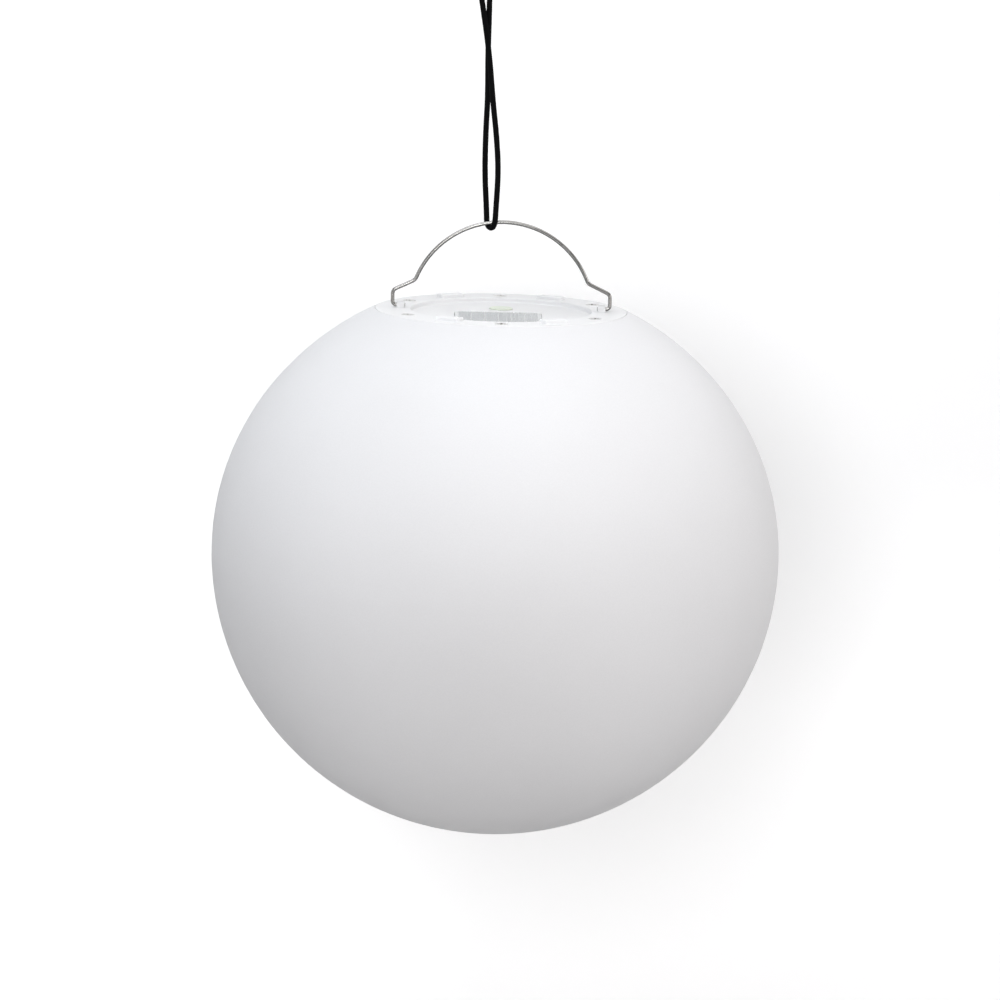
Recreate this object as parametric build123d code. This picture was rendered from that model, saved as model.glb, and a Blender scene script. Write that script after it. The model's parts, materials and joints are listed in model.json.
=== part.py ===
"""A hanging garden globe light, in millimetres, +Z up.

A white globe shell is closed on top by a round cap that carries a solar panel, a push button and, inside the
globe, the battery and the lamp. A wire bail is hinged to the cap, and a loop of cord holds the bail up.
The origin is the underside of the bail's wire at its crown, on the globe's axis. The bail's hinge lies along X,
the panel is on the -Y side of the cap and the button on the +Y side.
Heights named in the inner stack are measured from the cap's top face, which lies at CAP_Z.
"""
import math
import os

from build123d import *

# Globe shell: two half ellipsoids on one equator
GLOBE_R = 150.0
TOP_RISE = 144.35  # equator to the point where the upper half would close
BOTTOM_DROP = 149.0  # equator to the point where the lower half would close
BASE_R = 18.0  # the flat that the globe stands on
WALL = 2.6
NECK_GAP = 2.5  # between the lamp housing's rim and the neck that it passes
LAND_T = 3.4  # the flat ring under the cap
RIM_DROP = 0.3  # the shell's rim lies this much below the cap's top face

# Bail
WIRE_R = 1.0
BAIL_RISE = 46.0  # cap's top face to the wire's centre at the crown
BAIL_ARC_R = 48.4
BAIL_ARC_DEG = 69.4  # how far the arc reaches to each side of the crown
LEG_TO_RECESS = 9.5
LEG_TOP_H = 9.1
PIVOT_H = 1.4  # hinge axis above the cap's top face
PIN_PROUD = 0.3  # how far the pin stands out of its lug
FOOT_BEND_R = 2.0
KNEE_BEND_R = 3.0
HIP_BEND_R = 4.0
PIN_CLEARANCE = 0.05

# Cap
SCREW_EDGE = 10.0  # from the screw circle to the cap's edge
CAP_T = 3.2
CAP_EDGE_R = 0.4
CAP_GAP = 0.2  # between the cap's edge and the shell's step
SPIGOT_GAP = 0.4  # between the cap's spigot and the neck
RECESS_PAST_NECK = 1.0
RECESS_DEPTH = 2.5
RECESS_EDGE_R = 0.6
FLOOR_T = 3.2  # floor of the recess
LUG_TO_BEND = 0.2  # between a lug and the start of the bail's foot bend
LUG_T = 4.2
LUG_R = 2.0  # round top of a lug, about the hinge axis
LUG_BASE_W = 5.0
LUG_EDGE_SHARE = 0.7  # of the wall round a lug's bore, rounded off at both ends
BLOCK_ANGLES = (60, 120, 240, 300)  # degrees from +X
BLOCK_TO_RECESS = 6.3  # from the recess to the middle of a block
BLOCK_L = 14.0
BLOCK_W = 6.0
BLOCK_H = 1.8
BLOCK_EDGE_R = 0.7
ROOT_T = 0.5  # how far lugs and blocks reach into the cap's plate

# Cap screws, their inserts and the gasket
SCREW_COUNT = 6
NECK_TO_SCREWS = 9.5
SCREW_R = 1.5
SCREW_L = 10.0
HEAD_R = 3.5
HEAD_T = 1.9
HEAD_GAP = 0.2
HEAD_EDGE_SHARE = 0.4  # of a screw head's thickness, rounded off
CROSS_L = 4.2
CROSS_W = 1.0
CROSS_DEPTH = 1.1
SEAT_DEPTH = 1.8
INSERT_R = 2.5
INSERT_L = 8.0
INSERT_BOSS_R = 5.0
INSERT_BOSS_FLOOR = 2.5
SCREW_END_GAP = 0.9  # between a cap screw's end and the bottom of its hole
FIT_GAP = 0.05  # between a part and the bore that holds it
NECK_LIP = 2.1  # between the neck and the gasket's groove
GASKET_W = 2.8
GASKET_T = 1.0

# Solar panel in its pocket
PANEL_X = -1.5
PANEL_Y = -13.0
PANEL_W = 46.0
PANEL_D = 40.0
PANEL_CORNER_R = 4.0
PANEL_GAP = 0.2
PANEL_BOARD_T = 0.9
RESIN_T = 1.2
RESIN_PROUD = 0.2
CELL_COUNT = 6
CELL_GAP = 0.7
CELL_MARGIN = 2.2
CELL_T = 0.25
RIBBON_W = 1.4
RIBBON_T = 0.15
LEAD_R = 0.6
LEAD_SPACING = 3.0
LEAD_HOLE_R = 3.2
LEAD_TAIL = 2.5  # straight end of a lead
LEAD_BOW = 1.0
LEAD_HOLE_GAP = 1.0  # between the lamp leads' hole and the battery tray

# Button and its switch
BUTTON_Y = 21.0
BUTTON_R = 6.05
BUTTON_PROUD = 0.8
BUTTON_EDGE_R = 0.5
BUTTON_GAP = 0.35
BUTTON_TRAVEL = 0.9
SHOULDER_W = 1.55
SHOULDER_T = 1.0
STEM_R = 2.0
SEAL_T = 1.2
SEAL_GAP = 0.1
SEAL_PAST_SHOULDER = 0.2
SWITCH_W = 6.0
SWITCH_T = 3.5
PLUNGER_R = 1.7
PLUNGER_STOP_GAP = 0.2  # between the stem and the switch when the button is down
PLUNGER_L = 3.2
PLUNGER_GAP = 0.1
SWITCH_FLOOR = 0.2

# Control board, hung from posts under the cap
BOARD_SIDE_GAP = 1.8  # between the board and the housing's wall
BOARD_T = 1.6
POST_L = 6.8
POST_R = 3.0
POST_EDGE = 5.0  # from a post's axis to the board's edge
POST_COUNT = 3
SMALL_SCREW_R = 1.2
SMALL_SCREW_L = 5.5
SMALL_HEAD_R = 2.3
SMALL_HEAD_T = 1.6
SMALL_HOLE_R = 1.5
HEADER = (7.5, 4.5, 5.0)
CHARGER = (5.0, 4.0, 1.5)
DRIVER = (4.0, 5.0, 1.5)
CHIP_X = 11.0
CHIP_Y = 6.0
COIL_R = 3.2
COIL_H = 4.0
COIL_PLACE = (-15.0, -9.0)
CAPACITOR_R = 2.0
CAPACITOR_H = 4.5
CAPACITOR_PLACES = ((13.0, -12.0), (19.0, -12.0))

# Lamp housing, screwed to bosses under the cap
TRAY_CORNER_GAP = 1.2  # between the battery tray's corners and the housing's wall
HOUSING_WALL = 2.2
HEADROOM = 3.65  # between the battery cells and the wire headers
HOUSING_FLOOR = 3.2
HOLE_END_T = 0.4  # left past the end of a screw's hole in the floor
HOUSING_RIM_W = 8.0
HOUSING_RIM_T = 2.2
BOSS_L = 6.0
BOSS_R = 3.4
BOSS_COUNT = 3

# Battery
CELL_R = 7.25
CELL_L = 50.5
CELL_NUB_R = 2.7
CELL_NUB_L = 1.0
CELL_SIDE_GAP = 0.4
TRAY_WALL = 1.2
TRAY_H = 10.0
TAB_W = 7.0
TAB_L = 6.4
TAB_T = 1.5
TAB_X = 14.0
CONTACT_T = 0.4
CONTACT_W = 9.0
SPRING_R = 2.6
SPRING_L = 1.0

# LED board and its cover
LED_BOARD_EDGE = 10.0  # from the board's edge to the housing's side
LED_BOARD_T = 1.6
LED_SCREW_EDGE = 4.0
LED_SCREW_COUNT = 3
SCREW_TIP_GAP = 0.4  # between the end of a screw in the housing's floor and its hole's end
LED_RINGS = ((8, 15.0), (4, 6.0))
LED_BODY = (3.5, 2.8, 1.0)
LENS_T = 1.8
LENS_COLLAR_H = 6.0
LENS_DROP = 16.0
LENS_LEDGE_W = 2.5

# Cord: the route is a loop from the sleeve's top, over the ring, down, round the bail and up again
CORD_R = 1.5
CORD_ROUTE = (
    (-9.8, 0.0, 135.0),
    (-9.8, 0.0, 142.3),
    (-17.1, 0.0, 142.3),
    (-17.0, -0.2, 134.0),
    (-14.1, -0.9, 118.5),
    (-9.4, -1.65, 90.0),
    (-6.6, -1.9, 62.0),
    (-4.5, -2.2, 46.0),
    (-3.1, -2.5, 28.0),
    (-3.9, -2.7, 9.0),
    (-4.4, -2.65, -2.1),
    (-8.5, 2.65, -2.1),
    (-8.9, 2.7, 8.0),
    (-10.2, 2.6, 26.0),
    (-10.2, 2.2, 48.0),
    (-9.5, 1.9, 66.0),
    (-10.0, 1.65, 90.0),
    (-9.8, 0.0, 112.0),
    (-9.8, 0.0, 123.0),
)
RUN_SHARE = 0.45  # of the shorter run, which an arc may use on each side of its point
SLEEVE_R = 2.7
SLEEVE_EDGE_R = 0.5
RING_WIRE_R = 2.0
RING_R = 11.0
RING_GAP = 0.35

# Radii that follow from the battery outwards
CELL_Y = CELL_R + CELL_SIDE_GAP / 2
TRAY_IN_L = CELL_L + CELL_NUB_L + 2 * (CONTACT_T + SPRING_L)
TRAY_IN_W = 2 * (CELL_Y + CELL_R) + CELL_SIDE_GAP
TRAY_CORNER_R = math.hypot(TRAY_IN_L / 2 + TRAY_WALL, TRAY_IN_W / 2 + TRAY_WALL)
HOUSING_R = TRAY_CORNER_R + TRAY_CORNER_GAP + HOUSING_WALL
HOUSING_RIM_R = HOUSING_R + HOUSING_RIM_W
BOSS_CIRCLE_R = HOUSING_R + HOUSING_RIM_W / 2
BOARD_R = HOUSING_R - HOUSING_WALL - BOARD_SIDE_GAP
POST_CIRCLE_R = BOARD_R - POST_EDGE
LED_BOARD_R = HOUSING_R - LED_BOARD_EDGE
LED_SCREW_CIRCLE_R = LED_BOARD_R - LED_SCREW_EDGE
LED_LEAD_Y = -(TRAY_IN_W / 2 + TRAY_WALL + LEAD_HOLE_R + LEAD_HOLE_GAP)
NECK_R = HOUSING_RIM_R + NECK_GAP
GASKET_IN_R = NECK_R + NECK_LIP
SCREW_CIRCLE_R = NECK_R + NECK_TO_SCREWS
CAP_R = SCREW_CIRCLE_R + SCREW_EDGE
RECESS_R = NECK_R + RECESS_PAST_NECK
BLOCK_CIRCLE_R = RECESS_R + BLOCK_TO_RECESS
SHOULDER_R = BUTTON_R + SHOULDER_W
SEAL_OUT_R = SHOULDER_R + SEAL_PAST_SHOULDER

# Places along the bail
LEG_X = RECESS_R + LEG_TO_RECESS
LUG_OUT_X = LEG_X - FOOT_BEND_R - LUG_TO_BEND
LUG_IN_X = LUG_OUT_X - LUG_T
PIN_END_X = LUG_IN_X - PIN_PROUD
ARC_END_X = BAIL_ARC_R * math.sin(math.radians(BAIL_ARC_DEG))
ARC_END_H = BAIL_RISE - BAIL_ARC_R * (1 - math.cos(math.radians(BAIL_ARC_DEG)))

# Heights: CAP_Z, EQUATOR_Z and BASE_Z from the origin, the others from the cap's top face
CAP_Z = WIRE_R - BAIL_RISE
EQUATOR_Z = CAP_Z - TOP_RISE * math.sqrt(1 - (CAP_R / GLOBE_R) ** 2)
BASE_Z = EQUATOR_Z - BOTTOM_DROP * math.sqrt(1 - (BASE_R / GLOBE_R) ** 2)
LAND = -CAP_T
INSERT_DEPTH = SCREW_L - (CAP_T - SEAT_DEPTH) + SCREW_END_GAP
FLOOR_TOP = -RECESS_DEPTH
FLOOR_BOTTOM = FLOOR_TOP - FLOOR_T
POCKET_FLOOR = FLOOR_TOP + RESIN_PROUD - RESIN_T - PANEL_BOARD_T
PANEL_BOARD_TOP = POCKET_FLOOR + PANEL_BOARD_T
BOARD_TOP = FLOOR_BOTTOM - POST_L
BOARD_BOTTOM = BOARD_TOP - BOARD_T
HEADER_BOTTOM = BOARD_BOTTOM - HEADER[2]
SHOULDER_BOTTOM = FLOOR_BOTTOM - SHOULDER_T
SWITCH_TOP = BOARD_TOP + SWITCH_T
PLUNGER_TOP = SWITCH_TOP + BUTTON_TRAVEL + PLUNGER_STOP_GAP
HOUSING_TOP = FLOOR_BOTTOM - BOSS_L
CELL_H = HEADER_BOTTOM - HEADROOM - CELL_R
TRAY_BOTTOM = CELL_H - CELL_R - FIT_GAP - TRAY_WALL
HOUSING_BOTTOM = TRAY_BOTTOM - HOUSING_FLOOR
LED_BOARD_BOTTOM = HOUSING_BOTTOM - LED_BOARD_T
LED_SCREW_L = LED_BOARD_T + HOUSING_FLOOR - HOLE_END_T - SCREW_TIP_GAP
TRAY_SCREW_L = TAB_T + HOUSING_FLOOR - HOLE_END_T - SCREW_TIP_GAP
BOTTOM = (Align.CENTER, Align.CENTER, Align.MIN)


def disc(radius, low, high, x=0.0, y=0.0):
    """A cylinder between two heights above the cap's top face."""
    return Pos(x, y, CAP_Z + low) * Cylinder(radius, high - low, align=BOTTOM)


def slab(width, depth, low, high, x=0.0, y=0.0):
    """A box between two heights above the cap's top face."""
    return Pos(x, y, CAP_Z + low) * Box(width, depth, high - low, align=BOTTOM)


def ring(inner, outer, low, high, x=0.0, y=0.0):
    return disc(outer, low, high, x, y) - disc(inner, low, high, x, y)


def around(count, radius, first_deg):
    """Places evenly spaced on a circle about the globe's axis."""
    turns = [math.radians(first_deg + 360 * i / count) for i in range(count)]
    return [(radius * math.cos(t), radius * math.sin(t)) for t in turns]


SCREW_PLACES = around(SCREW_COUNT, SCREW_CIRCLE_R, 30)
POST_PLACES = around(POST_COUNT, POST_CIRCLE_R, 30)
BOSS_PLACES = around(BOSS_COUNT, BOSS_CIRCLE_R, 90)
LED_SCREW_PLACES = around(LED_SCREW_COUNT, LED_SCREW_CIRCLE_R, 90)
TAB_PLACES = [(side * TAB_X, side * (TRAY_IN_W / 2 + TRAY_WALL + TAB_L / 2)) for side in (-1, 1)]


def revolved(*edges):
    """A solid turned about the globe's axis from edges drawn as (radius, height)."""
    return revolve(Plane.XZ * make_face(edges), Axis.Z)


def half_ellipse(radius, rise, low, high):
    """The part of an ellipse on the equator from one height to another, both measured from the equator."""
    start, end = (math.degrees(math.asin(h / rise)) for h in (low, high))
    circle_arc = CenterArc((0, 0), radius, start, end - start)
    return Pos(0, EQUATOR_Z) * scale(circle_arc, (1, rise / radius, 1)).edge()


def globe_shell():
    rim = CAP_Z - RIM_DROP - EQUATOR_Z
    land = CAP_Z + LAND - EQUATOR_Z
    base = BASE_Z - EQUATOR_Z
    inner_r = GLOBE_R - WALL
    outer = [half_ellipse(GLOBE_R, BOTTOM_DROP, base, 0), half_ellipse(GLOBE_R, TOP_RISE, 0, rim)]
    inner = [
        half_ellipse(inner_r, BOTTOM_DROP - WALL, base + WALL, 0),
        half_ellipse(inner_r, TOP_RISE - WALL, 0, land - LAND_T),
    ]
    neck = Polyline(
        outer[1] @ 1,
        (CAP_R + CAP_GAP, rim + EQUATOR_Z),
        (CAP_R + CAP_GAP, land + EQUATOR_Z),
        (NECK_R, land + EQUATOR_Z),
        (NECK_R, land - LAND_T + EQUATOR_Z),
        inner[1] @ 1,
    )
    floor = Polyline(inner[0] @ 0, (0, BASE_Z + WALL), (0, BASE_Z), outer[0] @ 0)
    shell = revolved(*outer, *neck.edges(), *inner, *floor.edges())
    groove_in = GASKET_IN_R - FIT_GAP
    groove_out = GASKET_IN_R + GASKET_W + FIT_GAP
    shell -= ring(groove_in, groove_out, LAND - GASKET_T, LAND)
    for x, y in SCREW_PLACES:
        shell += disc(INSERT_BOSS_R, LAND - INSERT_DEPTH - INSERT_BOSS_FLOOR, LAND - LAND_T / 2, x, y)
    for x, y in SCREW_PLACES:
        shell -= disc(INSERT_R, LAND - INSERT_DEPTH, LAND, x, y)
    return shell


def neck_gasket():
    return ring(GASKET_IN_R, GASKET_IN_R + GASKET_W, LAND - GASKET_T, LAND)


def panel_pocket(gap, low, high):
    """The panel's rounded outline, grown by a gap, between two heights."""
    outline = RectangleRounded(PANEL_W - 2 * gap, PANEL_D - 2 * gap, PANEL_CORNER_R - gap)
    return extrude(Pos(PANEL_X, PANEL_Y, CAP_Z + low) * outline, high - low)


def lug(side):
    """A lug with a round top, bored along X for the bail's pin."""
    profile = Pos(0, PIVOT_H) * Circle(LUG_R)
    profile += make_hull(
        [*(Pos(0, PIVOT_H) * Circle(LUG_R)).edges(), *(Pos(0, -ROOT_T / 2) * Rectangle(LUG_BASE_W, ROOT_T)).edges()]
    )
    body = extrude(Plane.YZ * profile, LUG_T)
    ends = body.faces().filter_by(Axis.X).edges()
    wall = LUG_R - WIRE_R - PIN_CLEARANCE
    body = fillet(ends.filter_by(lambda e: e.center().Z > 0), LUG_EDGE_SHARE * wall)
    bore = Pos(0, 0, PIVOT_H) * Rot(0, 90, 0) * Cylinder(WIRE_R + PIN_CLEARANCE, 3 * LUG_T)
    x = LUG_IN_X if side > 0 else -LUG_IN_X - LUG_T
    return Pos(x, 0, CAP_Z) * (body - bore)


def cap():
    plate = disc(CAP_R, LAND, 0) + disc(NECK_R - SPIGOT_GAP, FLOOR_BOTTOM, LAND)
    plate = fillet(plate.edges().group_by(Axis.Z)[-1], CAP_EDGE_R)
    plate -= disc(RECESS_R, FLOOR_TOP, 0)
    recess_edge = plate.edges().filter_by(GeomType.CIRCLE)
    recess_edge = recess_edge.filter_by(lambda e: abs(e.radius - RECESS_R) < 1e-3)
    plate = fillet(recess_edge, RECESS_EDGE_R)
    for angle in BLOCK_ANGLES:
        block = Box(BLOCK_W, BLOCK_L, BLOCK_H + ROOT_T, align=BOTTOM)
        top = block.edges().group_by(Axis.Z)[-1]
        block = fillet(top + block.edges().filter_by(Axis.Z), BLOCK_EDGE_R)
        plate += Rot(0, 0, angle) * Pos(BLOCK_CIRCLE_R, 0, CAP_Z - ROOT_T) * block
    for x, y in SCREW_PLACES:
        plate -= disc(HEAD_R + HEAD_GAP, -SEAT_DEPTH, 0, x, y)
        plate -= disc(SCREW_R + HEAD_GAP, LAND, 0, x, y)
    plate -= panel_pocket(0, POCKET_FLOOR, FLOOR_TOP)
    plate -= disc(LEAD_HOLE_R, FLOOR_BOTTOM, FLOOR_TOP, PANEL_X, PANEL_Y)
    plate -= disc(BUTTON_R + BUTTON_GAP, FLOOR_BOTTOM, FLOOR_TOP, 0, BUTTON_Y)
    plate -= disc(SEAL_OUT_R, FLOOR_BOTTOM, FLOOR_BOTTOM + SEAL_T, 0, BUTTON_Y)
    for x, y in POST_PLACES:
        post = disc(POST_R, BOARD_TOP, FLOOR_BOTTOM, x, y)
        plate += post - disc(SMALL_SCREW_R + FIT_GAP, BOARD_TOP, BOARD_TOP + SMALL_SCREW_L, x, y)
    for x, y in BOSS_PLACES:
        boss = disc(BOSS_R, HOUSING_TOP, FLOOR_BOTTOM, x, y)
        plate += boss - disc(SMALL_SCREW_R + FIT_GAP, HOUSING_TOP, HOUSING_TOP + SMALL_SCREW_L, x, y)
    return plate + lug(1) + lug(-1)


def screw(radius, length, head_r, head_t):
    """A pan-head screw, pointing down, with the underside of its head at the origin."""
    head = Cylinder(head_r, head_t, align=BOTTOM)
    head = fillet(head.edges().group_by(Axis.Z)[-1], head_t * HEAD_EDGE_SHARE)
    cross = Box(CROSS_L, CROSS_W, CROSS_DEPTH) + Box(CROSS_W, CROSS_L, CROSS_DEPTH)
    scale_down = head_r / HEAD_R
    head -= Pos(0, 0, head_t - CROSS_DEPTH / 2 * scale_down) * scale(cross, scale_down)
    return head + Pos(0, 0, -length) * Cylinder(radius, length, align=BOTTOM)


def screws(places, height, radius, length, head_r, head_t, up=False):
    turn = Rot(180, 0, 0) if up else Rot(0, 0, 0)
    one = screw(radius, length, head_r, head_t)
    return Compound([Pos(x, y, CAP_Z + height) * turn * one for x, y in places])


def screw_inserts():
    one = ring(SCREW_R + FIT_GAP, INSERT_R - FIT_GAP, LAND - INSERT_L, LAND)
    return Compound([Pos(x, y, 0) * one for x, y in SCREW_PLACES])


def cell_strips():
    """The solar cells, side by side along X."""
    width = (PANEL_W - 2 * CELL_MARGIN - (CELL_COUNT - 1) * CELL_GAP) / CELL_COUNT
    first = PANEL_X - (CELL_COUNT - 1) * (width + CELL_GAP) / 2
    depth = PANEL_D - 2 * CELL_MARGIN
    low, high = PANEL_BOARD_TOP, PANEL_BOARD_TOP + CELL_T
    return [slab(width, depth, low, high, first + i * (width + CELL_GAP), PANEL_Y) for i in range(CELL_COUNT)]


def cell_ribbons():
    """A thin ribbon across each gap between two cells, at alternate ends, on top of the cells."""
    cells = cell_strips()
    reach = (PANEL_D - 2 * CELL_MARGIN) / 2 - RIBBON_W
    low = PANEL_BOARD_TOP + CELL_T
    ribbons = []
    for i in range(CELL_COUNT - 1):
        x = (cells[i].center().X + cells[i + 1].center().X) / 2
        y = PANEL_Y + (reach if i % 2 else -reach)
        ribbons.append(slab(4 * RIBBON_W, RIBBON_W, low, low + RIBBON_T, x, y))
    return ribbons


def panel_resin():
    resin = panel_pocket(PANEL_GAP, PANEL_BOARD_TOP, PANEL_BOARD_TOP + RESIN_T)
    resin = fillet(resin.edges().group_by(Axis.Z)[-1], RESIN_PROUD)
    for inside in cell_strips() + cell_ribbons():
        resin -= inside
    return resin


def button_cap():
    top = FLOOR_TOP + BUTTON_PROUD
    body = disc(BUTTON_R, FLOOR_BOTTOM, top, 0, BUTTON_Y)
    body = fillet(body.edges().group_by(Axis.Z)[-1], BUTTON_EDGE_R)
    body += disc(SHOULDER_R, SHOULDER_BOTTOM, FLOOR_BOTTOM, 0, BUTTON_Y)
    return body + disc(STEM_R, PLUNGER_TOP, SHOULDER_BOTTOM, 0, BUTTON_Y)


def button_seal():
    low, high = FLOOR_BOTTOM, FLOOR_BOTTOM + SEAL_T
    return ring(BUTTON_R + SEAL_GAP, SEAL_OUT_R - FIT_GAP, low, high, 0, BUTTON_Y)


def switch_body():
    body = slab(SWITCH_W, SWITCH_W, BOARD_TOP, SWITCH_TOP, 0, BUTTON_Y)
    return body - disc(PLUNGER_R + PLUNGER_GAP, BOARD_TOP + SWITCH_FLOOR, SWITCH_TOP, 0, BUTTON_Y)


def switch_plunger():
    return disc(PLUNGER_R, PLUNGER_TOP - PLUNGER_L, PLUNGER_TOP, 0, BUTTON_Y)


def control_board():
    board = disc(BOARD_R, BOARD_BOTTOM, BOARD_TOP)
    for x, y in POST_PLACES:
        board -= disc(SMALL_HOLE_R, BOARD_BOTTOM, BOARD_TOP, x, y)
    return board


def board_chips():
    """The charger, the driver, a coil and two capacitors on the board's upper side."""
    chips = [slab(*CHARGER[:2], BOARD_TOP, BOARD_TOP + CHARGER[2], -CHIP_X, CHIP_Y)]
    chips.append(slab(*DRIVER[:2], BOARD_TOP, BOARD_TOP + DRIVER[2], CHIP_X, CHIP_Y))
    chips.append(disc(COIL_R, BOARD_TOP, BOARD_TOP + COIL_H, *COIL_PLACE))
    chips += [disc(CAPACITOR_R, BOARD_TOP, BOARD_TOP + CAPACITOR_H, x, y) for x, y in CAPACITOR_PLACES]
    return Compound(chips)


def header_places():
    """Where the battery's and the lamp's wire headers stand under the board."""
    return [(BOARD_R - HEADER[0], 0.0), (0.0, LED_LEAD_Y)]


def wire_headers():
    return Compound([slab(HEADER[0], HEADER[1], HEADER_BOTTOM, BOARD_BOTTOM, x, y) for x, y in header_places()])


def lamp_housing():
    housing = disc(HOUSING_R, HOUSING_BOTTOM, HOUSING_TOP)
    housing += disc(HOUSING_RIM_R, HOUSING_TOP - HOUSING_RIM_T, HOUSING_TOP)
    housing -= disc(HOUSING_R - HOUSING_WALL, TRAY_BOTTOM, HOUSING_TOP)
    for x, y in BOSS_PLACES:
        housing -= disc(SMALL_HOLE_R, HOUSING_TOP - HOUSING_RIM_T, HOUSING_TOP, x, y)
    for x, y in LED_SCREW_PLACES:
        housing -= disc(SMALL_SCREW_R + FIT_GAP, HOUSING_BOTTOM, TRAY_BOTTOM - HOLE_END_T, x, y)
    for x, y in TAB_PLACES:
        housing -= disc(SMALL_SCREW_R + FIT_GAP, HOUSING_BOTTOM + HOLE_END_T, TRAY_BOTTOM, x, y)
    return housing - disc(LEAD_HOLE_R, HOUSING_BOTTOM, TRAY_BOTTOM, 0, LED_LEAD_Y)


def battery_tray():
    top = TRAY_BOTTOM + TRAY_H
    tray = slab(TRAY_IN_L + 2 * TRAY_WALL, TRAY_IN_W + 2 * TRAY_WALL, TRAY_BOTTOM, top)
    for x, y in TAB_PLACES:
        tray += slab(TAB_W, TAB_L, TRAY_BOTTOM, TRAY_BOTTOM + TAB_T, x, y)
    tray -= slab(TRAY_IN_L, TRAY_IN_W, TRAY_BOTTOM + TRAY_WALL, top)
    for x, y in TAB_PLACES:
        tray -= disc(SMALL_HOLE_R, TRAY_BOTTOM, TRAY_BOTTOM + TAB_T, x, y)
    return tray


def battery_cells():
    """Two cells side by side, end to end reversed, each with its nub."""
    body = Rot(0, 90, 0) * Cylinder(CELL_R, CELL_L)
    nub = Pos((CELL_L + CELL_NUB_L) / 2, 0, 0) * Rot(0, 90, 0) * Cylinder(CELL_NUB_R, CELL_NUB_L)
    one = Pos(-CELL_NUB_L / 2, 0, 0) * (body + nub)
    height = CAP_Z + CELL_H
    return Compound([Pos(0, CELL_Y, height) * one, Pos(0, -CELL_Y, height) * Rot(0, 0, 180) * one])


def cell_contacts():
    """A plate and a spring stub at each end of each cell."""
    contacts = []
    for side in (-1, 1):
        for y in (-CELL_Y, CELL_Y):
            plate = Pos(side * (TRAY_IN_L - CONTACT_T) / 2, y, CAP_Z + CELL_H) * Box(
                CONTACT_T, CONTACT_W, CONTACT_W
            )
            stub_x = side * (TRAY_IN_L / 2 - CONTACT_T - SPRING_L / 2)
            stub = Pos(stub_x, y, CAP_Z + CELL_H) * Rot(0, 90, 0) * Cylinder(SPRING_R, SPRING_L)
            contacts.append(plate + stub)
    return Compound(contacts)


def led_board():
    board = disc(LED_BOARD_R, LED_BOARD_BOTTOM, HOUSING_BOTTOM)
    for x, y in LED_SCREW_PLACES:
        board -= disc(SMALL_HOLE_R, LED_BOARD_BOTTOM, HOUSING_BOTTOM, x, y)
    return board


def leds():
    places = [place for count, radius in LED_RINGS for place in around(count, radius, 0)]
    low = LED_BOARD_BOTTOM - LED_BODY[2]
    return Compound([slab(LED_BODY[0], LED_BODY[1], low, LED_BOARD_BOTTOM, x, y) for x, y in places])


def dome_arc(radius, seat, drop):
    """An arc from the axis, one drop below the seat, out to the radius at the seat."""
    sphere_r = (radius**2 + drop**2) / (2 * drop)
    half = math.asin(radius / sphere_r) / 2
    middle = (sphere_r * math.sin(half), seat - drop + sphere_r * (1 - math.cos(half)))
    return ThreePointArc((0, seat - drop), middle, (radius, seat))


def lens_cover():
    """An opal dome under the lamp, with a collar that grips the housing and a ledge under its floor."""
    inner, outer = HOUSING_R + FIT_GAP, HOUSING_R + FIT_GAP + LENS_T
    ledge = HOUSING_R - LENS_LEDGE_W
    seat = CAP_Z + HOUSING_BOTTOM
    collar_top = seat + LENS_COLLAR_H
    dome = dome_arc(outer, seat, LENS_DROP)
    hollow = dome_arc(ledge, seat, LENS_DROP - LENS_T)
    collar = Polyline((outer, seat), (outer, collar_top), (inner, collar_top), (inner, seat), (ledge, seat))
    return revolved(dome, *collar.edges(), hollow, Line(hollow @ 0, dome @ 0))


def arc_radii(route):
    """For each inner point of a route, the radius of the arc that replaces its corner."""
    points = [Vector(*p) for p in route]
    runs = [b - a for a, b in zip(points, points[1:])]
    radii = []
    for before, after in zip(runs, runs[1:]):
        half_turn = math.radians(before.get_angle(after)) / 2
        radii.append(RUN_SHARE * min(before.length, after.length) / math.tan(half_turn))
    return radii


def tube(route, radius):
    """A round tube along straight runs joined by tangent arcs."""
    path = FilletPolyline(*route, radius=arc_radii(route))
    section = Plane(origin=path @ 0, z_dir=path % 0) * Circle(radius)
    return sweep(section, path=path), path


def leads(route, offset):
    """A pair of wires on one route, side by side."""
    pair = []
    for side in (-1, 1):
        moved = [tuple(p[i] + side * offset[i] for i in range(3)) for p in route]
        pair.append(tube([(x, y, CAP_Z + h) for x, y, h in moved], LEAD_R)[0])
    return Compound(pair)


def solar_leads():
    x, y = PANEL_X, PANEL_Y
    route = [(x, y, POCKET_FLOOR), (x, y, POCKET_FLOOR - LEAD_TAIL)]
    route += [(x, y + LEAD_BOW, BOARD_TOP + LEAD_TAIL), (x, y + LEAD_BOW, BOARD_TOP)]
    return leads(route, (LEAD_SPACING / 2, 0, 0))


def battery_leads():
    x, top = (TRAY_IN_L - CONTACT_T) / 2, HEADER_BOTTOM
    start = CELL_H + CONTACT_W / 2
    end_x = header_places()[0][0]
    route = [(x, 0, start), (x, 0, start + LEAD_TAIL), (end_x, 0, top - LEAD_TAIL), (end_x, 0, top)]
    return leads(route, (0, CELL_Y - CONTACT_W / 2 + LEAD_R, 0))


def led_leads():
    y, top = LED_LEAD_Y, HEADER_BOTTOM
    route = [(0, y, top), (0, y, top - 2 * LEAD_TAIL), (0, y - LEAD_BOW, (top + HOUSING_BOTTOM) / 2)]
    route += [(0, y, HOUSING_BOTTOM + 2 * LEAD_TAIL), (0, y, HOUSING_BOTTOM)]
    return leads(route, (LEAD_SPACING / 2, 0, 0))


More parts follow.
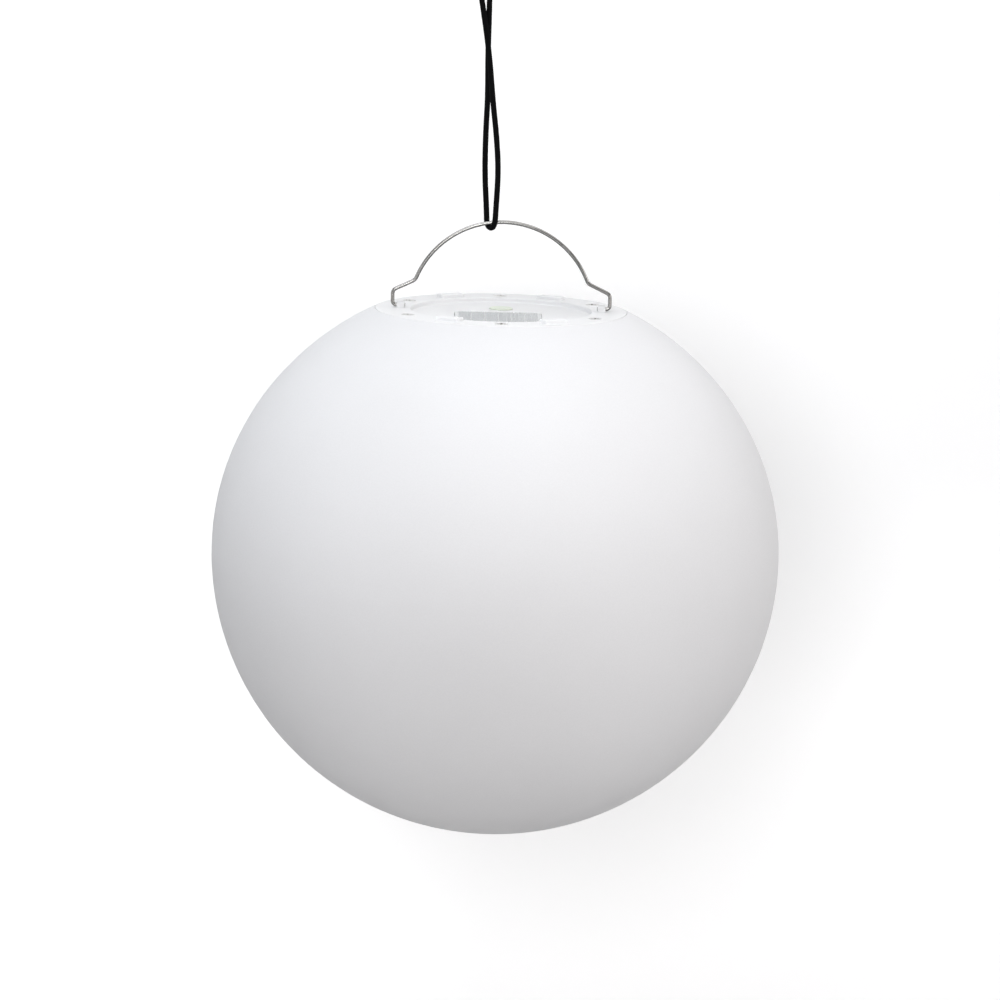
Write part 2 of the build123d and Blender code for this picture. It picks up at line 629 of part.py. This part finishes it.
def bail_path():
    """The wire's centreline, drawn as (x, height above the cap's top face)."""
    half = [(ARC_END_X, ARC_END_H), (LEG_X, LEG_TOP_H), (LEG_X, PIVOT_H), (PIN_END_X, PIVOT_H)]
    mirrored = [(-x, h) for x, h in half]
    arc = ThreePointArc(mirrored[0], (0, BAIL_RISE), half[0])
    path = Wire([*Polyline(*mirrored).edges(), arc, *Polyline(*half).edges()])
    for (x, h), radius in zip(half, (HIP_BEND_R, KNEE_BEND_R, FOOT_BEND_R)):
        for corner in ((x, h), (-x, h)):
            nearest = path.vertices().sort_by_distance(corner)[0]
            path = path.fillet_2d(radius, [nearest])
    return Pos(0, 0, CAP_Z) * (Plane.XZ * path)


def bail_handle():
    path = bail_path()
    section = Plane(origin=path @ 0, z_dir=path % 0) * Circle(WIRE_R)
    return sweep(section, path=path)


def cord_sleeve():
    top, low = CORD_ROUTE[0], CORD_ROUTE[-1]
    sleeve = Pos(*low) * Cylinder(SLEEVE_R, top[2] - low[2], align=BOTTOM)
    return fillet(sleeve.edges().filter_by(GeomType.CIRCLE), SLEEVE_EDGE_R)


def hang_ring():
    """A ring whose lowest stretch lies in the cord's upper turn."""
    right, left = CORD_ROUTE[1], CORD_ROUTE[2]
    wire_z = right[2] - CORD_R - RING_WIRE_R - RING_GAP
    return Pos((left[0] + right[0]) / 2, 0, wire_z + RING_R) * Rot(0, 90, 0) * Torus(RING_R, RING_WIRE_R)


def checked_cord():
    """The cord's tube, after printing its radii and comparing its volume with section times length."""
    solid, path = tube(CORD_ROUTE, CORD_R)
    print("cord radii:", [round(r, 1) for r in arc_radii(CORD_ROUTE)])
    expected = math.pi * CORD_R**2 * path.length
    print(f"cord length {path.length:.1f} mm, volume share {solid.volume / expected:.4f}")
    return solid


PIECES = {
    "globe_shell": globe_shell,
    "neck_gasket": neck_gasket,
    "cap": cap,
    "cap_screws": lambda: screws(SCREW_PLACES, -SEAT_DEPTH, SCREW_R, SCREW_L, HEAD_R, HEAD_T),
    "screw_inserts": screw_inserts,
    "solar_board": lambda: panel_pocket(PANEL_GAP, POCKET_FLOOR, PANEL_BOARD_TOP),
    "solar_cells": lambda: Compound(cell_strips()),
    "cell_ribbons": lambda: Compound(cell_ribbons()),
    "panel_resin": panel_resin,
    "solar_leads": solar_leads,
    "button_cap": button_cap,
    "button_seal": button_seal,
    "switch_body": switch_body,
    "switch_plunger": switch_plunger,
    "control_board": control_board,
    "board_chips": board_chips,
    "wire_headers": wire_headers,
    "board_screws": lambda: screws(
        POST_PLACES, BOARD_BOTTOM, SMALL_SCREW_R, SMALL_SCREW_L, SMALL_HEAD_R, SMALL_HEAD_T, up=True
    ),
    "lamp_housing": lamp_housing,
    "housing_screws": lambda: screws(
        BOSS_PLACES,
        HOUSING_TOP - HOUSING_RIM_T,
        SMALL_SCREW_R,
        SMALL_SCREW_L,
        SMALL_HEAD_R,
        SMALL_HEAD_T,
        up=True,
    ),
    "battery_tray": battery_tray,
    "tray_screws": lambda: screws(
        TAB_PLACES, TRAY_BOTTOM + TAB_T, SMALL_SCREW_R, TRAY_SCREW_L, SMALL_HEAD_R, SMALL_HEAD_T
    ),
    "battery_cells": battery_cells,
    "cell_contacts": cell_contacts,
    "battery_leads": battery_leads,
    "led_board": led_board,
    "leds": leds,
    "led_board_screws": lambda: screws(
        LED_SCREW_PLACES,
        LED_BOARD_BOTTOM,
        SMALL_SCREW_R,
        LED_SCREW_L,
        SMALL_HEAD_R,
        SMALL_HEAD_T,
        up=True,
    ),
    "led_leads": led_leads,
    "lens_cover": lens_cover,
    "bail_handle": bail_handle,
    "hanging_cord": checked_cord,
    "cord_sleeve": cord_sleeve,
    "hang_ring": hang_ring,
}

os.makedirs("parts", exist_ok=True)
for name, make in PIECES.items():
    piece = make()
    piece.label = name
    export_step(piece, f"parts/{name}.step")
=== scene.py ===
"""Looks for a hanging garden globe light, in metres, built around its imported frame.

The origin is the underside of the bail's wire at its crown. The hinge lies along X, and the camera looks
along +Y.
"""
import json
import math

import bmesh
import bpy
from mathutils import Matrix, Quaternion, Vector


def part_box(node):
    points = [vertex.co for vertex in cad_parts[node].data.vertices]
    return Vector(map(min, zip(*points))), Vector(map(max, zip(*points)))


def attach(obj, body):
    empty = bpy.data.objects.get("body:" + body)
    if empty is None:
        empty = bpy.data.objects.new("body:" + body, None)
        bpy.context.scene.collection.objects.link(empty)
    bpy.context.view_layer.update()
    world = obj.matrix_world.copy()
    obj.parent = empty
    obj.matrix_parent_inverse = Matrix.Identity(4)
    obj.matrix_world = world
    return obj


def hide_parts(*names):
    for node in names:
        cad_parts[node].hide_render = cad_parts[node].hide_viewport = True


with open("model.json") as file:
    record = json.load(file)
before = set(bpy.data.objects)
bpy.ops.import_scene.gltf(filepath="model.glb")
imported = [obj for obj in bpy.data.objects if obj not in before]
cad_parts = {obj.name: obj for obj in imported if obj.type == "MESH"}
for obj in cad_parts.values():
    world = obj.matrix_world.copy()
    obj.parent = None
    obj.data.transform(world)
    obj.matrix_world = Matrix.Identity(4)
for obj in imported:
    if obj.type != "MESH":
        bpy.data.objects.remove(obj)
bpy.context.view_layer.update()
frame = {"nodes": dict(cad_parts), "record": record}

nodes = frame["nodes"]
scene = bpy.context.scene
MM = 0.001


def add_object(name, data):
    made = bpy.data.objects.new(name, data)
    scene.collection.objects.link(made)
    return made


def widest_height(node):
    """The height at which a node reaches furthest from the globe's axis."""
    return max((v.co for v in nodes[node].data.vertices), key=lambda co: math.hypot(co.x, co.y)).z


# Places on the frame
EQUATOR = Vector((0, 0, widest_height("globe_shell")))
BASE_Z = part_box("globe_shell")[0].z
HINGE_Z = next(j["pos_m"][2] for j in frame["record"]["behaviour"]["joints"] if j["name"] == "bail_hinge")

# Camera, placed from the globe's outline, the screws and the bail in the photograph. Angles in degrees
CAMERA_DISTANCE = 2306.7 * MM
CAMERA_AZIMUTH = -0.428
CAMERA_ELEVATION = 10.727
CAMERA_ROLL = 1.4
CAMERA_LENS = 156.7  # focal length in millimetres
CAMERA_AIM = Vector((1.9, 0, 28.1)) * MM  # from the middle of the globe


def toward(azimuth, elevation, distance):
    """A point seen from the globe's middle. Azimuth 0 is the -Y side and 90 the +X side."""
    a, e = math.radians(azimuth), math.radians(elevation)
    way = Vector((math.sin(a) * math.cos(e), -math.cos(a) * math.cos(e), math.sin(e)))
    return EQUATOR + distance * way


def make_camera():
    lens = bpy.data.cameras.new("camera")
    lens.lens = CAMERA_LENS
    camera = add_object("camera", lens)
    camera.location = toward(CAMERA_AZIMUTH, CAMERA_ELEVATION, CAMERA_DISTANCE)
    level = (EQUATOR + CAMERA_AIM - camera.location).to_track_quat("-Z", "Y")
    camera.rotation_mode = "QUATERNION"
    camera.rotation_quaternion = level @ Quaternion((0, 0, 1), math.radians(CAMERA_ROLL))
    scene.camera = camera


# Cord: up out of the sleeve, over the ring, down in front of the other strand, round the bail and back
CORD_R = 1.5 * MM
CORD_ROUTE_MM = (
    (-9.8, 0.0, 135.0),
    (-9.8, 0.0, 142.3),
    (-17.1, 0.0, 142.3),
    (-17.0, -0.2, 134.0),
    (-14.1, -0.9, 118.5),
    (-9.4, -1.65, 90.0),
    (-6.6, -1.9, 62.0),
    (-4.5, -2.2, 46.0),
    (-3.1, -2.5, 28.0),
    (-3.9, -2.7, 9.0),
    (-4.4, -2.65, -2.1),
    (-8.5, 2.65, -2.1),
    (-8.9, 2.7, 8.0),
    (-10.2, 2.6, 26.0),
    (-10.2, 2.2, 48.0),
    (-9.5, 1.9, 66.0),
    (-10.0, 1.65, 90.0),
    (-9.8, 0.0, 112.0),
    (-9.8, 0.0, 123.0),
)
ROUTE_ORDER = 3
ROUTE_RESOLUTION = 24  # points read between two of the route's points
CORD_STEP = 0.25 * MM
CORD_SIDES = 48

# The cord's braid: strands wound both ways round it, which stand out where they lie on top
BRAID_STRANDS = 8
BRAID_PITCH = 9.0 * MM
BRAID_RELIEF = 0.14 * MM


def nurbs_line(name, points):
    curve = bpy.data.curves.new(name, "CURVE")
    curve.dimensions = "3D"
    curve.resolution_u = ROUTE_RESOLUTION
    spline = curve.splines.new("NURBS")
    spline.points.add(len(points) - 1)
    for control, point in zip(spline.points, points):
        control.co = (*point, 1)
    spline.order_u = ROUTE_ORDER
    spline.use_endpoint_u = True
    return curve


def read_line(curve):
    """The points along a curve that has no bevel, in order."""
    line = add_object("line", curve)
    mesh = bpy.data.meshes.new_from_object(line)
    points = [v.co.copy() for v in mesh.vertices]
    bpy.data.objects.remove(line)
    bpy.data.meshes.remove(mesh)
    return points


def evenly(points, step):
    """Points about a step apart along a line."""
    lengths = [(b - a).length for a, b in zip(points, points[1:])]
    count = round(sum(lengths) / step)
    spaced, run, i = [points[0]], 0.0, 0
    for k in range(1, count):
        target = sum(lengths) * k / count
        while run + lengths[i] < target:
            run += lengths[i]
            i += 1
        spaced.append(points[i].lerp(points[i + 1], (target - run) / lengths[i]))
    return spaced + [points[-1]]


def frames_along(points):
    """A side and an up direction at each point, turned as little as possible from one to the next."""
    ways = [(b - a).normalized() for a, b in zip(points, points[1:])]
    ways.append(ways[-1])
    side = ways[0].orthogonal().normalized()
    frames = []
    for before, way in zip([ways[0], *ways], ways):
        side.rotate(before.rotation_difference(way))
        side = (side - side.dot(way) * way).normalized()
        frames.append((side.copy(), way.cross(side)))
    return frames


def to_mesh_data(name, mesh):
    """A bmesh written to a new mesh, and freed."""
    data = bpy.data.meshes.new(name)
    mesh.to_mesh(data)
    mesh.free()
    return data


def tube_mesh(name, points, surface, sides):
    """A closed tube along points, whose radius is surface(distance along, angle round)."""
    mesh = bmesh.new()
    along, rings = 0.0, []
    for i, (point, (side, up)) in enumerate(zip(points, frames_along(points))):
        along += (point - points[i - 1]).length if i else 0.0
        ring = []
        for k in range(sides):
            turn = 2 * math.pi * k / sides
            way = side * math.cos(turn) + up * math.sin(turn)
            ring.append(mesh.verts.new(point + way * surface(along, turn)))
        rings.append(ring)
    for low, high in zip(rings, rings[1:]):
        for k in range(sides):
            mesh.faces.new((low[k], low[k - 1], high[k - 1], high[k]))
    mesh.faces.new(rings[0])
    mesh.faces.new(reversed(rings[-1]))
    bmesh.ops.recalc_face_normals(mesh, faces=mesh.faces)
    for face in mesh.faces:
        face.smooth = len(face.verts) == 4
    return to_mesh_data(name, mesh)


def braid_radius(along, turn):
    one = math.sin(BRAID_STRANDS * (turn + 2 * math.pi * along / BRAID_PITCH) / 2)
    other = math.sin(BRAID_STRANDS * (turn - 2 * math.pi * along / BRAID_PITCH) / 2)
    return CORD_R - BRAID_RELIEF * (1 - max(one * one, other * other))


def make_cord():
    route = nurbs_line("cord_route", [Vector(p) * MM for p in CORD_ROUTE_MM])
    line = evenly(read_line(route), CORD_STEP)
    cord = add_object("cord_loop", tube_mesh("cord_loop", line, braid_radius, CORD_SIDES))
    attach(cord, "hanger")
    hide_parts("hanging_cord")
    return cord


class ShaderTree:
    """The shader nodes of a material or a world."""

    def __init__(self, owner):
        owner.use_nodes = True
        self.tree = owner.node_tree

    def feed(self, value, socket):
        """Links an output to an input, or sets the input to a plain value."""
        if isinstance(value, bpy.types.NodeSocket):
            self.tree.links.new(value, socket)
        else:
            socket.default_value = value

    def add(self, kind, inputs=None, **settings):
        node = self.tree.nodes.new(kind)
        for key, value in settings.items():
            setattr(node, key, value)
        for key, value in (inputs or {}).items():
            self.feed(value, node.inputs[key])
        return node

    def maths(self, operation, *values, clamp=False):
        inputs = dict(enumerate(values))
        return self.add("ShaderNodeMath", inputs, operation=operation, use_clamp=clamp).outputs["Value"]


class Shading(ShaderTree):
    """The nodes of one material, around its Principled shader."""

    NOISE_LOW, NOISE_HIGH = 0.35, 0.65  # most of a noise lies between these

    def __init__(self, name, **values):
        self.material = bpy.data.materials.new(name)
        super().__init__(self.material)
        self.shader = self.tree.nodes["Principled BSDF"]
        self.place = self.add("ShaderNodeTexCoord").outputs["Object"]
        self.set(**values)

    def set(self, **values):
        for socket, value in values.items():
            self.shader.inputs[socket.replace("_", " ")].default_value = value

    def noise(self, scale, detail=3):
        """Grey noise with features of about one over its scale, in metres."""
        inputs = {"Vector": self.place, "Scale": scale, "Detail": detail}
        return self.add("ShaderNodeTexNoise", inputs).outputs["Fac"]

    def spread(self, value, low, high, start=NOISE_LOW, end=NOISE_HIGH):
        """A value that goes from start to end, made to go from low to high and no further."""
        inputs = {"Value": value, "From Min": start, "From Max": end, "To Min": low, "To Max": high}
        return self.add("ShaderNodeMapRange", inputs).outputs["Result"]

    def axis(self, letter):
        """The place along X, Y or Z, in metres."""
        return self.add("ShaderNodeSeparateXYZ", {"Vector": self.place}).outputs[letter]

    def length(self, vector):
        return self.add("ShaderNodeVectorMath", {0: vector}, operation="LENGTH").outputs["Value"]

    def stripes(self, value, start, pitch, share):
        """1 over the first share of each pitch along a value, and 0 over the rest."""
        turns = self.maths("DIVIDE", self.maths("SUBTRACT", value, start), pitch)
        return self.maths("LESS_THAN", self.maths("FRACT", turns), share)

    def tint(self, factor, first, second):
        """Two linear colours, or the outputs that give them, mixed by a factor."""
        ends = [c if isinstance(c, bpy.types.NodeSocket) else (*c, 1) for c in (first, second)]
        inputs = {"Factor": factor, "A": ends[0], "B": ends[1]}
        return self.add("ShaderNodeMix", inputs, data_type="RGBA").outputs["Result"]

    def join(self, output, socket):
        self.tree.links.new(output, self.shader.inputs[socket])

    def bump(self, height, depth):
        node = self.add("ShaderNodeBump", {"Height": height, "Distance": depth})
        self.join(node.outputs["Normal"], "Normal")


# Moulded plastic: the features per metre of its shades and its polish, and how far the polish drifts
SHADE_SCALE = 14
POLISH_SCALE = 60
POLISH_DRIFT = 0.05


def moulded(name, colour, roughness, grain=1100, depth=0.012, shade=0.97, fine=0.985, gloss=0.5, painted_shade=None):
    """Moulded plastic: a fine grain in its surface, shades that drift slowly across it, and any painted
    shade.

    The grain is in features per metre and its depth in millimetres. Shade and fine are the shares of the
    colour that are left where the slow shades and the grain are darkest.
    """
    look = Shading(name, Roughness=roughness, Specular_IOR_Level=gloss)
    broad = look.spread(look.noise(SHADE_SCALE), shade, 1.0)
    speck = look.spread(look.noise(grain, detail=2), fine, 1.0)
    share = look.maths("MULTIPLY", broad, speck)
    # Painted shade, where a material is given it, darkens the colour further
    if painted_shade:
        share = look.maths("MULTIPLY", share, painted_shade(look))
    look.join(look.tint(share, (0, 0, 0), colour), "Base Color")
    polish = look.spread(look.noise(POLISH_SCALE), roughness - POLISH_DRIFT, roughness + POLISH_DRIFT)
    look.join(polish, "Roughness")
    look.bump(look.noise(grain), depth * MM)
    return look.material


# The cap's painted shade, as shares of its colour: painted shade darkening its back, and painted shade on the
# lugs round the bail's pins
BACK_PAINTED_SHADE = 0.86
BACK_SHADE_REACH = (-45 * MM, 60 * MM)  # along Y
# Painted shade on the lugs: the share of the cap's colour left round the middle of each lug
LUG_PAINTED_SHADE = 0.86
LUG_SHADE_REACH = (2.2 * MM, 5.5 * MM)  # from the middle of a lug
LUG_INSET = 5.3 * MM  # from the bail's outermost side to the middle of a lug


def cap_painted_shade(look):
    """The share of the cap's colour left at each place by painted shade, darker toward its back and round the
    lugs.
    """
    # Painted shade: the cap's colour darkens toward its back
    back = look.spread(look.axis("Y"), 1.0, BACK_PAINTED_SHADE, *BACK_SHADE_REACH)
    lug_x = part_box("bail_handle")[1].x - LUG_INSET
    out = look.maths("SUBTRACT", look.maths("ABSOLUTE", look.axis("X")), lug_x)
    over = look.maths("SUBTRACT", look.axis("Z"), HINGE_Z)
    apart = look.add("ShaderNodeCombineXYZ", {"X": out, "Y": look.axis("Y"), "Z": over}).outputs["Vector"]
    # Painted shade: the cap darkens round the middle of each lug, where the bail's pins sit
    lug_shade = look.spread(look.length(apart), LUG_PAINTED_SHADE, 1.0, *LUG_SHADE_REACH)
    return look.maths("MULTIPLY", back, lug_shade)


# Metal: fine scratches and duller patches, as features per metre, and what they change
SCRATCH_SCALE = 900
SCRATCH_DETAIL = 4
SCRATCH_DEPTH = 0.003 * MM
SCRATCH_SHADE = 0.86
PATCH_SCALE = 120
PATCH_POLISH = (-0.06, 0.08)


def metal(name, colour, roughness):
    """Drawn or turned metal with fine scratches and a few duller patches."""
    look = Shading(name, Metallic=1.0, Roughness=roughness)
    scratches = look.noise(SCRATCH_SCALE, SCRATCH_DETAIL)
    shaded = [c * SCRATCH_SHADE for c in colour]
    look.join(look.tint(look.spread(scratches, 0.0, 1.0), shaded, colour), "Base Color")
    polish = look.spread(look.noise(PATCH_SCALE), *[roughness + change for change in PATCH_POLISH])
    look.join(polish, "Roughness")
    look.bump(scratches, SCRATCH_DEPTH)
    return look.material


# Solar panel: six cells side by side, with silver fingers across them
CELL_COUNT = 6
CELL_GAP = 0.7 * MM
FINGER_PITCH = 2.1 * MM
FINGER_SHARE = 0.16
CRYSTAL = 1.6 * MM  # about how wide the silicon's crystals are
CRYSTAL_RANGE = (0.3, 0.7)  # of their random values, from the darkest crystals to the palest
SILICON_DARK = (0.03, 0.05, 0.065)
SILICON_PALE = (0.17, 0.21, 0.23)
FINGER_COLOUR = (0.26, 0.29, 0.30)
GAP_COLOUR = (0.30, 0.33, 0.33)
BORDER_COLOUR = (0.50, 0.53, 0.53)
CLOUD_COLOUR = (0.45, 0.46, 0.45)
HAZE = 0.3  # how far the resin has clouded at the +X end
CELL_ROUGHNESS = 0.4
RESIN_ROUGHNESS = 0.1
RIPPLE_SCALE = 420  # the resin's ripples, in features per metre
RIPPLE_DEPTH = 0.004 * MM


def solar_panel(name):
    """Cells of many crystals with thin fingers, in a pale border, under resin that has clouded at one end."""
    look = Shading(name, Roughness=CELL_ROUGHNESS, Specular_IOR_Level=0.0)
    look.set(Coat_Weight=1.0, Coat_Roughness=RESIN_ROUGHNESS)
    low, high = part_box("solar_cells")
    middle, half = (low + high) / 2, (high - low) / 2
    x, y = look.axis("X"), look.axis("Y")
    along = look.maths("COMPARE", x, middle.x, half.x)
    across = look.maths("COMPARE", y, middle.y, half.y)
    pitch = (high.x - low.x + CELL_GAP) / CELL_COUNT
    crystals = look.add("ShaderNodeTexVoronoi", {"Vector": look.place, "Scale": 1 / CRYSTAL})
    mottle = look.spread(crystals.outputs["Color"], 0.0, 1.0, *CRYSTAL_RANGE)
    silicon = look.tint(mottle, SILICON_DARK, SILICON_PALE)
    fingers = look.tint(look.stripes(x, low.x, FINGER_PITCH, FINGER_SHARE), silicon, FINGER_COLOUR)
    cells = look.tint(look.stripes(x, low.x, pitch, 1 - CELL_GAP / pitch), GAP_COLOUR, fingers)
    plain = look.tint(look.maths("MULTIPLY", along, across), BORDER_COLOUR, cells)
    cloud = look.spread(x, 0.0, HAZE, middle.x, high.x)
    look.join(look.tint(cloud, plain, CLOUD_COLOUR), "Base Color")
    look.bump(look.noise(RIPPLE_SCALE), RIPPLE_DEPTH)
    return look.material


# The material of each slot: how it is made, and with what
MATERIALS = {
    "shell_white": (
        moulded,
        dict(colour=(0.80, 0.80, 0.81), roughness=0.62, grain=1300, shade=0.985, fine=0.98, gloss=0.15),
    ),
    # The cap's colour carries painted shade, darker toward its back and round the lugs
    "cap_white": (
        moulded,
        dict(colour=(0.86, 0.86, 0.865), roughness=0.45, grain=1500, depth=0.006, gloss=0.4, painted_shade=cap_painted_shade),
    ),
    "button_green": (moulded, dict(colour=(0.68, 0.73, 0.62), roughness=0.35, grain=2000, depth=0.004)),
    # The bail's steel is set much darker than bare steel: painted shade in place of the dark surroundings it
    # reflects
    "stainless": (metal, dict(colour=(0.28, 0.275, 0.265), roughness=0.24)),
    "screw_steel": (metal, dict(colour=(0.58, 0.57, 0.56), roughness=0.26)),
    "brass": (metal, dict(colour=(0.60, 0.44, 0.20), roughness=0.35)),
    "tinned": (metal, dict(colour=(0.62, 0.62, 0.60), roughness=0.35)),
    "clear_resin": (solar_panel, {}),
    "cell_grey": (
        moulded,
        dict(colour=(0.06, 0.09, 0.10), roughness=0.2, grain=500, depth=0.002, shade=0.7, fine=0.8),
    ),
    "board_green": (moulded, dict(colour=(0.02, 0.12, 0.05), roughness=0.35)),
    "board_white": (moulded, dict(colour=(0.72, 0.72, 0.70), roughness=0.4)),
    "chip_black": (moulded, dict(colour=(0.02, 0.02, 0.02), roughness=0.5)),
    "seal_rubber": (moulded, dict(colour=(0.55, 0.55, 0.53), roughness=0.6)),
    "housing_white": (moulded, dict(colour=(0.72, 0.72, 0.71), roughness=0.45)),
    "tray_black": (moulded, dict(colour=(0.03, 0.03, 0.03), roughness=0.5)),
    "cell_wrap": (moulded, dict(colour=(0.05, 0.20, 0.10), roughness=0.25)),
    "led_phosphor": (moulded, dict(colour=(0.80, 0.62, 0.15), roughness=0.3)),
    "opal": (moulded, dict(colour=(0.80, 0.80, 0.80), roughness=0.3)),
    "wire_red": (moulded, dict(colour=(0.30, 0.02, 0.02), roughness=0.45)),
    "cord_black": (
        moulded,
        dict(
            colour=(0.004, 0.004, 0.0045),
            roughness=0.8,
            grain=2500,
            depth=0.05,
            shade=0.6,
            fine=0.6,
            gloss=0.05,
        ),
    ),
    "sleeve_black": (moulded, dict(colour=(0.008, 0.008, 0.008), roughness=0.6, gloss=0.2)),
}


def dress(made):
    """Gives each CAD node, and each piece made here, the material of its slot."""
    materials = {slot: make(slot, **settings) for slot, (make, settings) in MATERIALS.items()}
    slots = {part["node"]: part["material_slot"] for part in frame["record"]["subparts"]}
    for name, node in nodes.items():
        for place in node.material_slots:
            place.material = materials[slots[name]]
    for piece, slot in made.items():
        piece.data.materials.append(materials[slot])


# Studio: a white paper wall that curves into a floor
WALL_BEHIND = 0.30  # clear of the globe where the bail lets it swing back
FLOOR_BELOW = 0.60
BEND_R = 0.35
BEND_STEPS = 24
STAGE_WIDTH = 7.0
STAGE_FRONT = 4.5
WALL_HEIGHT = 3.0

# The paper's colour and glow
PAPER = 0.90  # for the camera, in reflections and through clear parts, as the glow is
PAPER_BOUNCE = 0.40  # for the light that it throws back on the part
PAPER_ROUGHNESS = 0.9
GLOW = 0.215  # at the height of the globe's middle and above
LOW_GLOW = 0.295  # at the height of the globe's base and below
LEFT_GLOW = 0.05  # added at the left of the globe
RIGHT_GLOW = -0.04  # added behind the globe and at its right
GLOW_REACH = (-200 * MM, 0.0)  # along X, where the glow changes from left to right
FAR_GLOW = 0.6  # added far from the globe, where the lamps are weak
FAR_REACH = (0.8, 2.5)
ROOM = 0.4  # how bright the room behind the camera is in reflections


def make_stage():
    wall_y, floor_z = WALL_BEHIND, BASE_Z - FLOOR_BELOW
    turn = [math.radians(90 * i / BEND_STEPS) for i in range(BEND_STEPS + 1)]
    profile = [(-STAGE_FRONT, floor_z)]
    profile += [(wall_y - BEND_R * (1 - math.sin(t)), floor_z + BEND_R * (1 - math.cos(t))) for t in turn]
    profile += [(wall_y, WALL_HEIGHT)]
    mesh = bmesh.new()
    rows = [[mesh.verts.new((side * STAGE_WIDTH / 2, y, z)) for side in (-1, 1)] for y, z in profile]
    for low, high in zip(rows, rows[1:]):
        mesh.faces.new((low[0], low[1], high[1], high[0])).smooth = True
    backdrop = add_object("backdrop", to_mesh_data("backdrop", mesh))
    backdrop.data.materials.append(stage_material())


def stage_material():
    """White paper that shows only from its front, lets the lamp behind it through, and glows when seen."""
    look = Shading("backdrop", Roughness=PAPER_ROUGHNESS, Specular_IOR_Level=0.0)
    look.set(Emission_Color=(1, 1, 1, 1))
    rays = look.add("ShaderNodeLightPath").outputs
    seen = look.maths("MAXIMUM", rays["Is Camera Ray"], rays["Is Glossy Ray"])
    seen = look.maths("MAXIMUM", seen, rays["Is Transmission Ray"])
    look.join(look.tint(seen, [PAPER_BOUNCE] * 3, [PAPER] * 3), "Base Color")
    level = look.spread(look.axis("Z"), LOW_GLOW, GLOW, BASE_Z, EQUATOR.z)
    side = look.spread(look.axis("X"), LEFT_GLOW, RIGHT_GLOW, *GLOW_REACH)
    far = look.spread(look.length(look.place), 0.0, FAR_GLOW, *FAR_REACH)
    glow = look.maths("ADD", look.maths("ADD", level, side), far)
    look.join(look.maths("MULTIPLY", seen, glow), "Emission Strength")
    clear = look.add("ShaderNodeBsdfTransparent").outputs["BSDF"]
    back = look.add("ShaderNodeNewGeometry").outputs["Backfacing"]
    open_way = look.maths("MAXIMUM", back, rays["Is Shadow Ray"])
    mix = look.add("ShaderNodeMixShader", {0: open_way, 1: look.shader.outputs["BSDF"], 2: clear})
    look.feed(mix.outputs["Shader"], look.tree.nodes["Material Output"].inputs["Surface"])
    return look.material


def make_world():
    """White where the camera looks past the backdrop, a grey room in reflections, and no light of its own."""
    world = bpy.data.worlds.new("studio")
    sky = ShaderTree(world)
    rays = sky.add("ShaderNodeLightPath").outputs
    reflected = sky.maths("MAXIMUM", rays["Is Glossy Ray"], rays["Is Transmission Ray"])
    strength = sky.maths("MULTIPLY_ADD", reflected, ROOM, rays["Is Camera Ray"], clamp=True)
    background = sky.tree.nodes["Background"].inputs
    sky.feed((1, 1, 1, 1), background["Color"])
    sky.feed(strength, background["Strength"])
    scene.world = world


# Soft lamps beside the camera, overhead, at both sides, low in front and behind. Each has an azimuth and an
# elevation in degrees, seen from the globe, a distance and a size in metres, a power in watts, and a colour
LAMPS = {
    "beside_camera": (-7.5, 14, 2.0, 0.6, 13.6, (0.985, 0.985, 1.0)),
    "overhead": (0, 80, 1.5, 1.4, 4.8, (0.97, 0.99, 1.0)),
    "near_overhead": (0, 58, 0.55, 0.25, 0.15, (1.0, 1.0, 1.0)),
    "over_left": (-60, 65, 1.5, 1.0, 8.2, (0.94, 0.965, 1.0)),
    "over_right": (60, 65, 1.5, 1.0, 3.4, (1.0, 0.99, 0.99)),
    "left": (-78, 15, 1.8, 1.0, 4.2, (0.92, 0.95, 1.0)),
    "right": (78, 15, 1.8, 1.0, 12.0, (1.0, 0.985, 0.985)),
    "low_left": (-35, -12, 2.0, 1.0, 6.2, (1.0, 0.97, 0.95)),
    "low_right": (35, -12, 2.0, 1.0, 6.6, (1.0, 0.96, 0.94)),
    "behind": (180, 0, 2.6, 1.6, 22.0, (1.0, 1.0, 1.0)),
}
NO_HIGHLIGHT = ("behind",)  # lamps that metal doesn't show


def make_lamps():
    for name, (azimuth, elevation, distance, size, power, colour) in LAMPS.items():
        light = bpy.data.lights.new(name, "AREA")
        light.shape = "DISK"
        light.size = size
        light.energy = power
        light.color = colour
        lamp = add_object(name, light)
        lamp.location = toward(azimuth, elevation, distance)
        lamp.rotation_euler = (EQUATOR - lamp.location).to_track_quat("-Z", "Y").to_euler()
        lamp.visible_glossy = name not in NO_HIGHLIGHT


make_camera()
cord = make_cord()
dress({cord: "cord_black"})
make_stage()
make_world()
make_lamps()
scene.view_settings.view_transform = "Standard"
